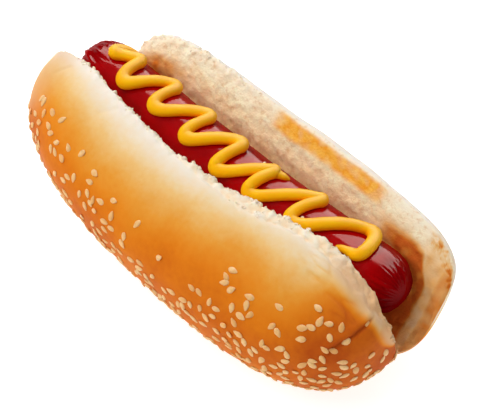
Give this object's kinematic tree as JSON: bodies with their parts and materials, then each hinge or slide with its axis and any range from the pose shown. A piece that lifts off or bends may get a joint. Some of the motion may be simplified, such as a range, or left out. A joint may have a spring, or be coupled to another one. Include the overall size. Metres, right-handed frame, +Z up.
{
  "type": "hot dog",
  "caption": "Frankfurter in a seeded bread roll that is slit along its length and opened like a book, with a zigzag of mustard piped along its top.",
  "frame": {"origin": "centre of the box round the hot dog, at the surface that the roll stands on", "axes": "+X along the roll, +Z up, -Y on the side of the roll's seeded crown and +Y on the side of its base"},
  "size_m": [0.1604, 0.074, 0.0511],
  "materials": {
    "bread": "baked crust, golden brown on the outside and pale, porous crumb on the cut faces",
    "frankfurter": "glossy smooth skin, deep red",
    "mustard": "smooth, wet, golden yellow",
    "sesame": "matt, pale cream hulled seed"
  },
  "bodies": {
    "root": {"bun": "bread", "sausage": "frankfurter", "mustard": "mustard"}
  },
  "joints": []
}
